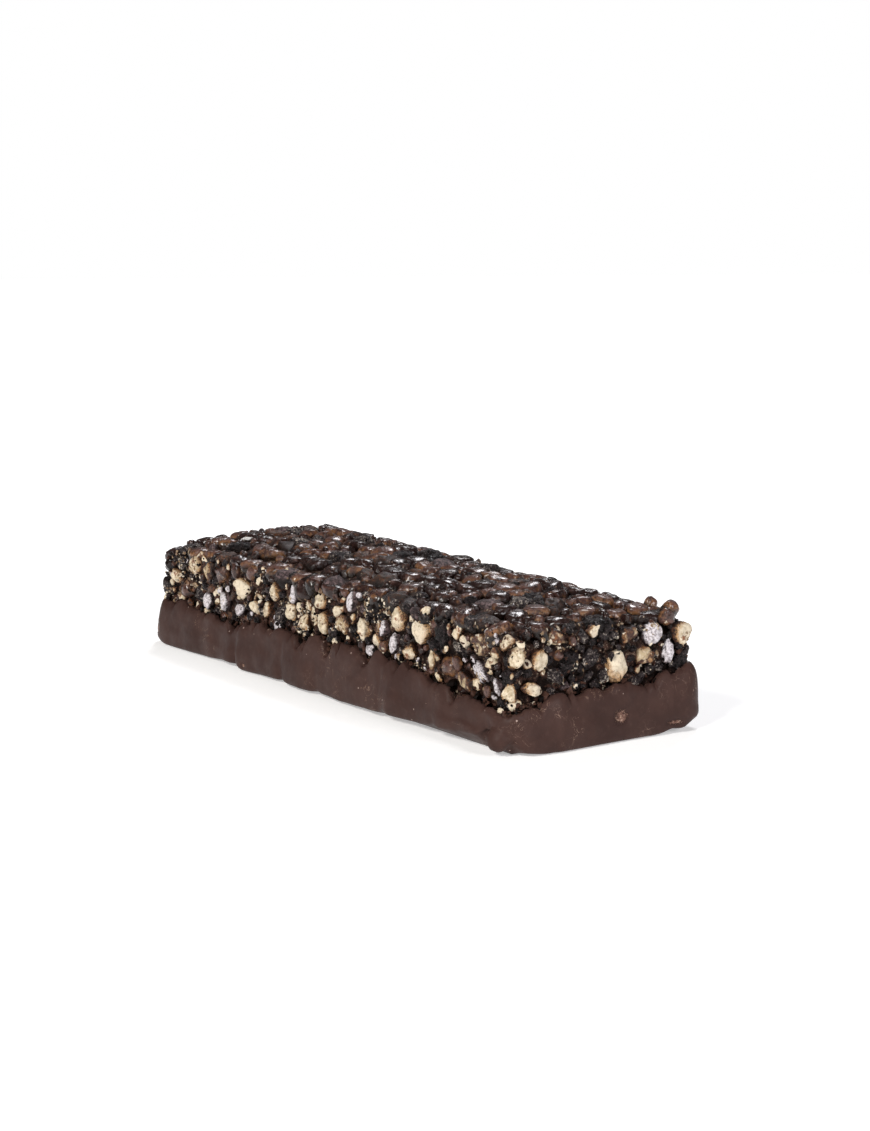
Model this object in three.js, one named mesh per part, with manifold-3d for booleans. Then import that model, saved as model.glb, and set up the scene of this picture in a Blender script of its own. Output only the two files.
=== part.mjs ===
// A whole cereal protein bar, lying on its base: a pressed block of puffed grains whose lower part is dipped
// in dark chocolate. Millimetres, +Z up, the origin at the centre of the base, the bar's length along X.
//
// Two pieces touch each other. The chocolate coat is a shallow tray with a flat floor, a belly that bulges
// near the foot, and an uneven upper edge. The cereal layer is a crowned block that reaches down into the
// tray, with the puffed grains that show fused on at their true size.
import * as THREE from "three";
import { mergeVertices } from "three/addons/utils/BufferGeometryUtils.js";
import Module from "manifold-3d";

const wasm = await Module();
wasm.setup();

// ---- driving sizes ----
const blockLength = 107.4; // the cereal block across the faces of its outermost grains
const blockWidth = 34;
const blockCorner = 2.0; // radius of its four upright corners
const shoulderHeight = 18.6; // height of the top face along its edges, on average
const crownRise = 1.5; // how much higher the middle of the top face is
const coatFloor = 1.6; // thickness of the chocolate under the block
const coatInset = 1.0; // how far inside the grains' faces the chocolate's inner wall stands
const baseInset = 1.9; // how far inside the block's outline the flat of the base ends
const fitGap = 0.3; // gap between the two pieces
const grainPitch = 4.7; // spacing of the puffed grains
const grainRows = 2; // rows of grains on each side face

// ---- repeatable random draws: the same seed always gives the same bar ----
function makeDraws(seed) {
  const modulus = 2147483647;
  const factor = 16807;
  let state = seed;
  return (low, high) => {
    state = (state * factor) % modulus;
    return low + ((high - low) * state) / modulus;
  };
}

// ---- the block's plan outline: a rounded rectangle, walked by arc length ----
// A station is the distance walked from the middle of the +X end, counter-clockwise seen from above. On the
// -Y side stations are below zero, as that side is reached sooner the other way round.
const endRun = blockWidth / 2 - blockCorner;
const sideRun = blockLength / 2 - blockCorner;
const cornerRun = (Math.PI / 2) * blockCorner;
const outlineRun = 4 * (endRun + sideRun + cornerRun);
const onFrontSide = (x) => x - sideRun - cornerRun - endRun;
const wrapped = (walked) => ((walked % outlineRun) + outlineRun) % outlineRun;

function outlineAt(station) {
  const legs = [
    { run: endRun, from: [blockLength / 2, 0], along: [0, 1] },
    { run: cornerRun, centre: [sideRun, endRun], start: 0 },
    { run: 2 * sideRun, from: [sideRun, blockWidth / 2], along: [-1, 0] },
    { run: cornerRun, centre: [-sideRun, endRun], start: Math.PI / 2 },
    { run: 2 * endRun, from: [-blockLength / 2, endRun], along: [0, -1] },
    { run: cornerRun, centre: [-sideRun, -endRun], start: Math.PI },
    { run: 2 * sideRun, from: [-sideRun, -blockWidth / 2], along: [1, 0] },
    { run: cornerRun, centre: [sideRun, -endRun], start: 1.5 * Math.PI },
    { run: endRun, from: [blockLength / 2, -endRun], along: [0, 1] },
  ];
  let walked = wrapped(station);
  let leg;
  for (leg of legs) {
    if (walked <= leg.run) break;
    walked -= leg.run;
  }
  if (leg.centre) {
    const angle = leg.start + Math.min(walked / leg.run, 1) * (Math.PI / 2);
    const normal = new THREE.Vector2(Math.cos(angle), Math.sin(angle));
    return { point: new THREE.Vector2(...leg.centre).addScaledVector(normal, blockCorner), normal };
  }
  const along = new THREE.Vector2(...leg.along);
  return {
    point: new THREE.Vector2(...leg.from).addScaledVector(along, Math.min(walked, leg.run)),
    normal: new THREE.Vector2(along.y, -along.x),
  };
}

// ---- how the chocolate rises and falls along the outline ----
// Marks are [station, height], and the height eases from each mark to the next, all the way round.
function easedRound(marks, station) {
  const ahead = ([mark]) => wrapped(mark - station);
  const next = marks.reduce((best, mark) => (ahead(mark) < ahead(best) ? mark : best));
  const last = marks.reduce((best, mark) => (ahead(mark) > ahead(best) ? mark : best));
  const share = 1 - ahead(next) / (ahead(next) + outlineRun - ahead(last));
  return last[1] + (next[1] - last[1]) * share * share * (3 - 2 * share);
}

// A closed wave is a few cosines that each fit round the outline a whole number of times.
function waveRound(waves, station) {
  const angle = (2 * Math.PI * station) / outlineRun;
  return waves.reduce((sum, [turns, height, phase]) => sum + height * Math.cos(turns * angle + phase), 0);
}

const onFront = (marks) => marks.map(([x, height]) => [onFrontSide(x), height]);
const coatEdgeMarks = [
  ...onFront([[-53.5, 7.2], [-48, 8.2], [-37, 7.7], [-27, 7.1], [-17, 8.5], [-6, 8.6], [4, 9.0]]),
  ...onFront([[14, 9.3], [22, 9.5], [31, 8.5], [38, 7.3], [47, 6.7]]),
  ...[[-16, 5.8], [-9, 8.0], [5, 8.0], [12, 9.0], [17, 10.1]],
  ...[[28, 8.8], [45, 7.9], [62, 8.9], [80, 8.1], [97, 8.8], [112, 7.6], [125, 7.2], [138, 8.3]],
];
const coatEdgeWaves = [[31, 0.2, 4.0], [47, 0.25, 2.7]];
const footLiftMarks = [
  ...onFront([[-54, 1.5], [-50, 0.3], [-46, 0], [-35, 0.1], [-26, 0.6], [-20, 0], [-10, 0.3]]),
  ...onFront([[10, 0.4], [30, 0.9], [49, 2.1]]),
  ...[[-16, 0.6], [-11, 0], [8, 0], [13, 0.5], [17, 2.1]],
  ...[[26, 1.0], [45, 0.3], [70, 0.8], [95, 0.2], [118, 1.2], [132, 0.2]],
];
const bellyWaves = [[5, 0.16, 0.4], [13, 0.2, 2.2], [23, 0.2, 5.1], [37, 0.12, 1.7]];
const rimWaves = [[11, 0.2, 0.9], [29, 0.2, 4.4]];
const coatEdgeAt = (station) => easedRound(coatEdgeMarks, station) + waveRound(coatEdgeWaves, station);

// ---- the chocolate coat ----
// A row of the profile is [distance outside the block's outline, height]. The first and last close on the
// axis. Only the flat of the base touches what the bar lies on.
function coatProfileAt(station) {
  const edge = coatEdgeAt(station);
  const lift = easedRound(footLiftMarks, station);
  const belly = waveRound(bellyWaves, station);
  const rim = waveRound(rimWaves, station);
  return [
    [null, 0],
    [-baseInset, 0],
    [-1.1 + 0.5 * belly, 0.1 + 0.2 * lift],
    [1.0 + belly, 0.15 + 0.9 * lift],
    [1.5 + belly, 0.95 + 0.5 * rim + 0.8 * lift],
    [1.45 + belly, 2.6 + rim + 0.6 * lift],
    [1.2 + 0.9 * belly, 4.4 + 0.5 * rim],
    [0.65 + 0.5 * belly, edge - 1.2],
    [0.1, edge],
    [-coatInset, edge - 0.5],
    [-coatInset, coatFloor],
    [null, coatFloor],
  ];
}

// A lathe of the right rows and columns, whose round plan is then laid on the block's outline.
function makeCoatGeometry(columns) {
  const rows = coatProfileAt(0).length;
  const radiusOf = (row) => (row % (rows - 1) ? 1 : 0);
  const placeholder = Array.from({ length: rows }, (_, row) => new THREE.Vector2(radiusOf(row), row));
  const geometry = new THREE.LatheGeometry(placeholder, columns);
  const position = geometry.getAttribute("position");
  for (let index = 0; index < position.count; index += 1) {
    const station = ((Math.floor(index / rows) % columns) / columns) * outlineRun;
    const [offset, height] = coatProfileAt(station)[index % rows];
    const { point, normal } = outlineAt(station);
    const place = offset === null ? new THREE.Vector2() : point.clone().addScaledVector(normal, offset);
    position.setXYZ(index, place.x, place.y, height);
  }
  return geometry;
}

// ---- the top face: crowned, and each of its four corners higher or lower than the shoulder ----
// [side in X, side in Y, rise]
const cornerRises = [[1, 1, -1.2], [1, -1, 0.3], [-1, 1, 1.2], [-1, -1, -0.3]];
const cornerDrop = 2.6; // how far the rounding of a corner falls at its tip
const cornerReach = 8; // how far from the tip that rounding starts

function topHeightAt(x, y) {
  const lengthways = (2 * x) / blockLength;
  const crossways = (2 * y) / blockWidth;
  const corners = cornerRises.map(([sideX, sideY, rise]) => {
    return (rise * (1 + sideX * lengthways) * (1 + sideY * crossways)) / 4;
  });
  const bulge = (1 - Math.min(1, Math.abs(lengthways)) ** 6) * (1 - Math.min(1, Math.abs(crossways)) ** 2.5);
  const fromTip = Math.hypot(blockLength / 2 - Math.abs(x), blockWidth / 2 - Math.abs(y));
  const drop = cornerDrop * Math.max(0, 1 - fromTip / cornerReach) ** 2;
  return shoulderHeight + corners.reduce((sum, rise) => sum + rise) + crownRise * bulge - drop;
}

// ---- the block behind the grains ----
// A box of many quads, its upright corners rounded and its top crowned, set back from the grains' faces.
function makeCoreGeometry() {
  const setBack = coatInset + fitGap;
  const topSetBack = 1.1;
  const shoulderRound = 1.6;
  const size = [blockLength - 2 * setBack, blockWidth - 2 * setBack, 1];
  const geometry = new THREE.BoxGeometry(...size, 14, 6, 2);
  const position = geometry.getAttribute("position");
  const corner = blockCorner - setBack;
  const crowding = 0.6; // below 1 the quads are narrower towards the edges
  const crowded = (place, side) => Math.sign(place) * (side / 2) * Math.abs((2 * place) / side) ** crowding;
  for (let index = 0; index < position.count; index += 1) {
    let x = crowded(position.getX(index), size[0]);
    let y = crowded(position.getY(index), size[1]);
    const share = position.getZ(index) + 0.5;
    const beyondX = Math.abs(x) - (size[0] / 2 - corner);
    const beyondY = Math.abs(y) - (size[1] / 2 - corner);
    if (beyondX > 0 && beyondY > 0) {
      const pull = Math.max(beyondX, beyondY) / Math.hypot(beyondX, beyondY);
      x = Math.sign(x) * (size[0] / 2 - corner + beyondX * pull);
      y = Math.sign(y) * (size[1] / 2 - corner + beyondY * pull);
    }
    const top = topHeightAt(x, y) - topSetBack;
    const bottom = coatFloor + fitGap;
    let height = bottom + share * (top - bottom);
    if (share === 1) {
      const inset = Math.min(size[0] / 2 - Math.abs(x), size[1] / 2 - Math.abs(y));
      height -= shoulderRound * Math.max(0, 1 - inset / shoulderRound) ** 2;
    }
    position.setXYZ(index, x, y, height);
  }
  return geometry;
}

// ---- the largest grains of the -Y side and of the +X end ----
// [kind, place along the face, height, half width, half height]; the place is X on the side and Y on the end.
const largestOnSide = [
  ["cream", -48.5, 12.6, 2.2, 1.4], ["rice", -35.8, 9.6, 1.2, 1.5], ["rice", -29.9, 10.8, 1.4, 1.9],
  ["cream", -24.0, 13.8, 2.4, 1.7], ["rice", -24.4, 9.9, 1.2, 1.1], ["glazed", -20.9, 16.6, 2.0, 1.5],
  ["cream", -19.2, 11.2, 1.6, 1.2], ["cream", -15.2, 11.2, 1.8, 1.3], ["cream", -12.7, 14.4, 2.2, 1.7],
  ["cream", -8.0, 12.0, 1.6, 1.5], ["glazed", -4.3, 16.2, 2.6, 2.4], ["cream", -3.0, 10.9, 1.8, 1.3],
  ["cream", 1.6, 14.8, 1.7, 1.3], ["cream", 2.7, 11.4, 2.1, 1.9], ["glazed", 4.4, 17.0, 2.3, 1.6],
  ["cream", 8.6, 12.2, 2.1, 1.7], ["cream", 14.2, 12.6, 2.0, 1.9], ["cocoa", 16.6, 16.2, 2.1, 1.7],
  ["rice", 20.8, 13.4, 1.2, 1.3], ["cream", 24.6, 15.4, 2.1, 1.9], ["cream", 28.0, 11.0, 1.5, 1.3],
  ["cream", 30.5, 14.3, 2.3, 1.9], ["cream", 33.9, 10.8, 1.0, 1.4], ["cocoa", 36.2, 15.2, 1.9, 2.0],
  ["cream", 45.8, 15.2, 2.4, 1.9], ["rice", 46.2, 11.0, 1.8, 1.7], ["rice", 50.4, 9.4, 1.2, 1.3],
];
const largestOnEnd = [
  ["cream", -16.7, 9.0, 1.1, 1.4], ["cream", -15.4, 14.0, 1.6, 1.8], ["cream", -12.3, 8.9, 2.3, 1.0],
  ["cream", -11.4, 13.2, 1.6, 1.5], ["cream", -8.5, 16.3, 1.4, 1.2], ["cocoa", -5.6, 12.2, 2.0, 1.9],
  ["cocoa", -1.8, 12.6, 1.9, 1.8], ["cream", -1.5, 16.4, 1.2, 1.0], ["cream", 2.9, 10.9, 2.2, 2.2],
  ["cream", 4.9, 15.3, 1.7, 1.5], ["cream", 7.6, 11.9, 1.8, 1.5], ["cream", 9.3, 15.2, 1.9, 1.8],
  ["rice", 12.2, 11.9, 1.1, 1.9], ["glazed", 12.0, 17.2, 1.5, 1.4], ["cream", 14.9, 14.6, 1.8, 1.6],
];

// Two lumps that stand up from the top near its +X, +Y corner: [x, y, height of the centre, half width,
// half thickness].
const lumpsOnTop = [[50.7, 14.5, 17.4, 1.6, 1.8], [44.9, 15.4, 17.3, 1.2, 1.5]];

// ---- where the grains lie ----
// A grain is an ellipsoid: its centre, the way it faces, its spin about that way, and its three half-axes.
// kind is what the grain is: glazed, cream, rice or cocoa.
function pickKind(shares, drawn) {
  let left = drawn;
  for (const [kind, share] of shares) {
    left -= share;
    if (left < 0) return kind;
  }
  return shares[0][0];
}
const topKinds = [["glazed", 0.66], ["cocoa", 0.24], ["rice", 0.03], ["cream", 0.07]];
const sideKinds = [["cream", 0.33], ["cocoa", 0.34], ["rice", 0.13], ["glazed", 0.2]];

function layTopGrains(draw) {
  const grains = [];
  const edgeLean = 0.4; // how far the outermost grains lean outwards, and how wide that border is
  const border = 3.5;
  const leanAt = (place, size) => Math.sign(place) * Math.max(0, 1 - (size / 2 - Math.abs(place)) / border);
  const columns = Math.round(blockLength / grainPitch);
  const rows = Math.round(blockWidth / grainPitch);
  const margin = 2.2;
  const along = (blockLength - 2 * margin) / (columns - 0.5);
  const across = (blockWidth - 2 * margin) / (rows - 1);
  for (let row = 0; row < rows; row += 1) {
    for (let column = 0; column < columns; column += 1) {
      const onEdge = row === 0 || row === rows - 1 || column === 0 || column === columns - 1;
      const roam = onEdge ? 0.12 : 0.24;
      const stagger = row % 2 ? 0.5 : 0;
      const x = -blockLength / 2 + margin + (column + stagger + draw(-roam, roam)) * along;
      const y = -blockWidth / 2 + margin + (row + draw(-roam, roam)) * across;
      const half = draw(2.1, 2.7);
      const flat = draw(0.78, 0.95);
      const thick = draw(0.95, 1.3);
      const rise = draw(-0.25, 0.35);
      const spin = draw(0, Math.PI);
      const tiltX = draw(-0.2, 0.2) + edgeLean * leanAt(x, blockLength);
      const tiltY = draw(-0.2, 0.2) + edgeLean * leanAt(y, blockWidth);
      const sink = 0.85 * thick + (onEdge ? 0.5 : 0);
      grains.push({
        kind: pickKind(topKinds, draw(0, 1)),
        centre: [x, y, topHeightAt(x, y) + rise - sink],
        facing: [tiltX, tiltY, 1],
        spin,
        halves: [half, half * flat, thick],
      });
    }
  }
  return grains;
}

function layLumps() {
  return lumpsOnTop.map(([x, y, height, half, thick]) => ({
    kind: "glazed",
    centre: [x, y, height],
    facing: [0, 0, 1],
    spin: 0,
    halves: [half, half, thick],
  }));
}

// A side grain is set by its station, its height and its half width and half height. It stays above the
// coat's edge.
function makeSideGrain({ kind, station, height, wide, tall, thick, proud, spin }) {
  const reach = Math.hypot(wide * Math.sin(spin), tall * Math.cos(spin));
  const edges = [-1, -0.5, 0, 0.5, 1].map((step) => coatEdgeAt(station + step * wide));
  const lowest = Math.max(...edges) + fitGap + reach;
  const { point, normal } = outlineAt(station);
  const centre = point.addScaledVector(normal, proud - thick);
  return {
    kind,
    centre: [centre.x, centre.y, Math.max(height, lowest)],
    facing: [normal.x, normal.y, 0],
    spin,
    halves: [wide, tall, thick],
  };
}

// Whether a grain of half-axis half would lie on one of the largest grains.
function isCrowded(largest, station, height, half) {
  const shownShare = 0.9;
  return largest.some((other) => {
    const apart = Math.abs(wrapped(station - other.station + outlineRun / 2) - outlineRun / 2);
    const along = apart / (other.wide + shownShare * half);
    const up = (height - other.height) / (other.tall + shownShare * half);
    return Math.hypot(along, up) < 1;
  });
}

function laySideGrains(draw) {
  const largest = [
    ...largestOnSide.map(([kind, x, ...rest]) => [kind, onFrontSide(x), ...rest]),
    ...largestOnEnd,
  ].map(([kind, station, height, wide, tall]) => ({ kind, station, height, wide, tall }));
  const grains = largest.map((grain) =>
    makeSideGrain({ ...grain, thick: draw(1.3, 1.5), proud: draw(0, 0.35), spin: draw(-0.25, 0.25) }),
  );
  const columns = Math.round(outlineRun / grainPitch);
  for (let column = 0; column < columns; column += 1) {
    for (let row = 0; row < grainRows; row += 1) {
      const stagger = row % 2 ? 0.5 : 0;
      const station = ((column + stagger + draw(-0.2, 0.2)) / columns) * outlineRun;
      const kind = pickKind(sideKinds, draw(0, 1));
      const tall = draw(1.75, 2.25);
      const wide = tall * (kind === "rice" ? draw(0.55, 0.65) : draw(0.85, 1));
      const thick = draw(1.2, 1.5);
      const proud = draw(-0.3, 0.3);
      const spin = kind === "rice" ? draw(-0.6, 0.6) : draw(0, Math.PI);
      const { point } = outlineAt(station);
      const highest = topHeightAt(point.x, point.y) - 2.9;
      const lowest = coatEdgeAt(station) + tall;
      const height = lowest + (row / (grainRows - 1)) * (highest - lowest) + draw(-0.4, 0.4);
      if (!isCrowded(largest, station, height, tall)) {
        grains.push(makeSideGrain({ kind, station, height, wide, tall, thick, proud, spin }));
      }
    }
  }
  return grains;
}

// A grain's frame: its third axis faces out of the bar, and its first is turned by its spin from level.
function grainMatrix({ centre, facing, spin, halves }) {
  const out = new THREE.Vector3(...facing).normalize();
  const level = Math.abs(out.z) > 0.7 ? new THREE.Vector3(1, 0, 0) : new THREE.Vector3(-out.y, out.x, 0);
  const first = level.addScaledVector(out, -level.dot(out)).normalize();
  const second = new THREE.Vector3().crossVectors(out, first);
  const turnedFirst = first.clone().multiplyScalar(Math.cos(spin)).addScaledVector(second, Math.sin(spin));
  const turnedSecond = new THREE.Vector3().crossVectors(out, turnedFirst);
  return new THREE.Matrix4()
    .makeBasis(turnedFirst, turnedSecond, out)
    .scale(new THREE.Vector3(...halves))
    .setPosition(...centre);
}

// A grain of half-axes 1 is a five-sided dome on a foot that tapers into the block.
function makeGrainGeometry() {
  const profile = [[0, -1], [1, 0.15], [0.7, 0.78], [0, 1]];
  const points = profile.map(([radius, height]) => new THREE.Vector2(radius, height));
  return new THREE.LatheGeometry(points, 5).rotateX(Math.PI / 2);
}

// ---- solids ----
function toSolid(geometry) {
  const bare = geometry.clone();
  bare.deleteAttribute("normal");
  bare.deleteAttribute("uv");
  const merged = mergeVertices(bare, 1e-4);
  const corners = [];
  const index = merged.index.array;
  for (let i = 0; i < index.length; i += 3) {
    const [a, b, c] = [index[i], index[i + 1], index[i + 2]];
    if (a !== b && b !== c && c !== a) corners.push(a, b, c);
  }
  const vertProperties = merged.attributes.position.array;
  const build = (triangles) =>
    new wasm.Manifold(new wasm.Mesh({ numProp: 3, vertProperties, triVerts: new Uint32Array(triangles) }));
  const solid = build(corners);
  return solid.volume() > 0 ? solid : build(corners.reverse());
}

function toGeometry(solid) {
  const mesh = solid.getMesh();
  const geometry = new THREE.BufferGeometry();
  geometry.setAttribute("position", new THREE.BufferAttribute(new Float32Array(mesh.vertProperties), 3));
  geometry.setIndex(new THREE.BufferAttribute(new Uint32Array(mesh.triVerts), 1));
  geometry.computeVertexNormals();
  return geometry;
}

// The grains are joined to the block, and what the join seals off or leaves loose is dropped.
function makeCerealSolid() {
  const draw = makeDraws(4711);
  const grains = [...layTopGrains(draw), ...layLumps(), ...laySideGrains(draw)];
  const grainShape = makeGrainGeometry();
  const pieces = grains.map((grain) => toSolid(grainShape.clone().applyMatrix4(grainMatrix(grain))));
  const joined = wasm.Manifold.union([toSolid(makeCoreGeometry()), ...pieces]);
  return joined.decompose().reduce((best, piece) => (piece.volume() > best.volume() ? piece : best));
}

// ---- the bar ----
function makeMesh(name, solid, look) {
  const mesh = new THREE.Mesh(toGeometry(solid), new THREE.MeshStandardMaterial(look));
  mesh.name = name;
  return mesh;
}

const coat = toSolid(makeCoatGeometry(120));
const cereal = makeCerealSolid();
const bar = new THREE.Group();
bar.add(makeMesh("chocolate_coat", coat, { color: 0x4a3835, roughness: 0.5, metalness: 0 }));
bar.add(makeMesh("cereal_layer", cereal, { color: 0x5c4536, roughness: 0.6, metalness: 0 }));

export default bar;
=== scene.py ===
"""The looks of a whole cereal protein bar: puffed grains in a dark syrup, dipped in dark chocolate.

Shapes are worked out in millimetres, in the frame of the solids, and made metres when a piece is finished.
"""

import itertools
import math

import bmesh
import bpy
import numpy as np
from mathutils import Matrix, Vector, noise
from mathutils.bvhtree import BVHTree


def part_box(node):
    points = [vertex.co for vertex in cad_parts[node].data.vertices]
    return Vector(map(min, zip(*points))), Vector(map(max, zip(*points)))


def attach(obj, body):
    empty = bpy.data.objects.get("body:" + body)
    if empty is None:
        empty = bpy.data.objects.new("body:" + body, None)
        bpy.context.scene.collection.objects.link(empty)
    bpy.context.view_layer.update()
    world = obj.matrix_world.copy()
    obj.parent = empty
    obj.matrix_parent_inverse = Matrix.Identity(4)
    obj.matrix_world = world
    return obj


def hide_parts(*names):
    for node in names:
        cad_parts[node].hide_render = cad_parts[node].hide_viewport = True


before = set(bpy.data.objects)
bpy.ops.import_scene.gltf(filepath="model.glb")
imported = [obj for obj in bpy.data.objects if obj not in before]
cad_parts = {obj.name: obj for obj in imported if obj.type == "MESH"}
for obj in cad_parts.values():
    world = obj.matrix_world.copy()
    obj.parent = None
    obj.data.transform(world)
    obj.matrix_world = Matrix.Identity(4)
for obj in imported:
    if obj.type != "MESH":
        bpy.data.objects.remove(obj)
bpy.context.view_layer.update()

# ---- driving sizes, in millimetres: the solids' own ----
MM = 0.001
BLOCK_LENGTH = 107.4  # the cereal block across the faces of its outermost grains
BLOCK_WIDTH = 34.0
BLOCK_CORNER = 2.0  # radius of its four upright corners
SHOULDER_HEIGHT = 18.6  # height of the top face along its edges, on average
CROWN_RISE = 1.5  # how much higher the middle of the top face is
COAT_FLOOR = 1.6  # thickness of the chocolate under the block
COAT_INSET = 1.0  # how far inside the grains' faces the chocolate's inner wall stands
BASE_INSET = 1.9  # how far inside the block's outline the flat of the base ends
FIT_GAP = 0.3  # gap between the two solids
GRAIN_PITCH = 4.7  # spacing of the larger grains
GRAIN_ROWS = 2  # rows of them on each side face
CEREAL_BOX = np.array(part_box("cereal_layer")) / MM
COAT_BOX = np.array(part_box("chocolate_coat")) / MM

# ---- repeatable random draws ----
SOLID_SEED = 4711  # the solids' own: the larger grains lie where theirs do
SMALL_SEED = 90211
KIND_SEED = 6173
SHAPE_SEED = 33091
CRUMB_SEED = 5501


def make_draws(seed):
    """A function draw(low, high) that gives the same run of numbers for the same seed."""
    modulus = 2147483647
    factor = 16807
    state = seed

    def draw(low, high):
        nonlocal state
        state = (state * factor) % modulus
        return low + (high - low) * state / modulus

    return draw


# ---- the block's plan outline, walked by arc length from the middle of the +X end ----
END_RUN = BLOCK_WIDTH / 2 - BLOCK_CORNER
SIDE_RUN = BLOCK_LENGTH / 2 - BLOCK_CORNER
CORNER_RUN = math.pi / 2 * BLOCK_CORNER
OUTLINE_RUN = 4 * (END_RUN + SIDE_RUN + CORNER_RUN)
LEGS = [(END_RUN, False)]
for straight_run in (2 * SIDE_RUN, 2 * END_RUN, 2 * SIDE_RUN, END_RUN):
    LEGS += [(CORNER_RUN, True), (straight_run, False)]


def front_station(x):
    """The station of a place on the -Y side."""
    return x - SIDE_RUN - CORNER_RUN - END_RUN


def nearest_station(x, y):
    """The station of the outline's point that faces a place on the block's sides."""
    if abs(x) / BLOCK_LENGTH > abs(y) / BLOCK_WIDTH:
        return y if x > 0 else OUTLINE_RUN / 2 - y
    return END_RUN + CORNER_RUN + SIDE_RUN - x if y > 0 else front_station(x)


def apart_round(station, other):
    """How far apart two stations are, the shorter way round."""
    return abs((station - other + OUTLINE_RUN / 2) % OUTLINE_RUN - OUTLINE_RUN / 2)


def heading_vector(angle):
    return Vector((math.cos(angle), math.sin(angle)))


def outline_at(station):
    """The point of the outline at that station, and its outward normal, both in plan."""
    left = station % OUTLINE_RUN
    place = Vector((BLOCK_LENGTH / 2, 0))
    heading = math.pi / 2
    for run, turns in LEGS:
        step = min(left, run)
        if turns:
            centre = place + BLOCK_CORNER * heading_vector(heading + math.pi / 2)
            heading += step / BLOCK_CORNER
            place = centre + BLOCK_CORNER * heading_vector(heading - math.pi / 2)
        else:
            place = place + step * heading_vector(heading)
        left -= step
        if left <= 0:
            break
    return place, heading_vector(heading - math.pi / 2)


def eased_round(marks, station):
    """The height there, easing from each [station, height] mark to the next, all the way round."""
    following = min(marks, key=lambda mark: (mark[0] - station) % OUTLINE_RUN)
    passed = max(marks, key=lambda mark: (mark[0] - station) % OUTLINE_RUN)
    to_next = (following[0] - station) % OUTLINE_RUN
    share = 1 - to_next / (to_next + OUTLINE_RUN - (passed[0] - station) % OUTLINE_RUN)
    return passed[1] + (following[1] - passed[1]) * share * share * (3 - 2 * share)


def wave_round(waves, station):
    """A few cosines that each fit round the outline a whole number of times."""
    angle = 2 * math.pi * station / OUTLINE_RUN
    return sum(height * math.cos(turns * angle + phase) for turns, height, phase in waves)


def on_front(marks):
    """Marks that are given by their X on the -Y side, by their station instead."""
    return [[front_station(x), *values] for x, *values in marks]


# The height of the coat's upper edge, and how far its foot is lifted: [station, height], eased between.
COAT_EDGE_MARKS = [
    *on_front([[-53.5, 7.2], [-48, 8.2], [-37, 7.7], [-27, 7.1], [-17, 8.5], [-6, 8.6], [4, 9.0]]),
    *on_front([[14, 9.3], [22, 9.5], [31, 8.5], [38, 7.3], [47, 6.7]]),
    *[[-16, 5.8], [-9, 8.0], [5, 8.0], [12, 9.0], [17, 10.1]],
    *[[28, 8.8], [45, 7.9], [62, 8.9], [80, 8.1], [97, 8.8], [112, 7.6], [125, 7.2], [138, 8.3]],
]
COAT_EDGE_WAVES = [[31, 0.2, 4.0], [47, 0.25, 2.7]]  # [waves round the outline, height, phase]
FOOT_LIFT_MARKS = [
    *on_front([[-54, 1.0], [-50, 0], [-46, 0], [-35, 0.1], [-26, 0.6], [-20, 0], [-10, 0.3]]),
    *on_front([[10, 0.4], [30, 0.9], [49, 2.1]]),
    *[[-16, 0.6], [-11, 0], [8, 0], [13, 0.5], [17, 2.1]],
    *[[26, 1.0], [45, 0.3], [70, 0.8], [95, 0.2], [118, 1.2], [132, 0.2]],
]
BELLY_WAVES = [[5, 0.16, 0.4], [13, 0.16, 2.2], [23, 0.08, 5.1]]
RIM_WAVES = [[11, 0.2, 0.9], [29, 0.2, 4.4]]


def coat_edge_at(station):
    return eased_round(COAT_EDGE_MARKS, station) + wave_round(COAT_EDGE_WAVES, station)


# How much higher or lower than the shoulder each corner of the top lies: [side in X, side in Y, rise].
CORNER_RISES = [[1, 1, -1.2], [1, -1, 0.3], [-1, 1, 1.2], [-1, -1, -0.3]]
CORNER_DROP = 2.6  # how far the rounding of a corner falls at its tip
CORNER_REACH = 8.0  # how far from the tip that rounding starts


def top_height_at(x, y):
    lengthways = 2 * x / BLOCK_LENGTH
    crossways = 2 * y / BLOCK_WIDTH
    corners = 0.0
    for side_x, side_y, rise in CORNER_RISES:
        corners += rise * (1 + side_x * lengthways) * (1 + side_y * crossways) / 4
    bulge = (1 - min(1.0, abs(lengthways)) ** 6) * (1 - min(1.0, abs(crossways)) ** 2.5)
    from_tip = math.hypot(BLOCK_LENGTH / 2 - abs(x), BLOCK_WIDTH / 2 - abs(y))
    drop = CORNER_DROP * max(0.0, 1 - from_tip / CORNER_REACH) ** 2
    return SHOULDER_HEIGHT + corners + CROWN_RISE * bulge - drop


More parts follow.
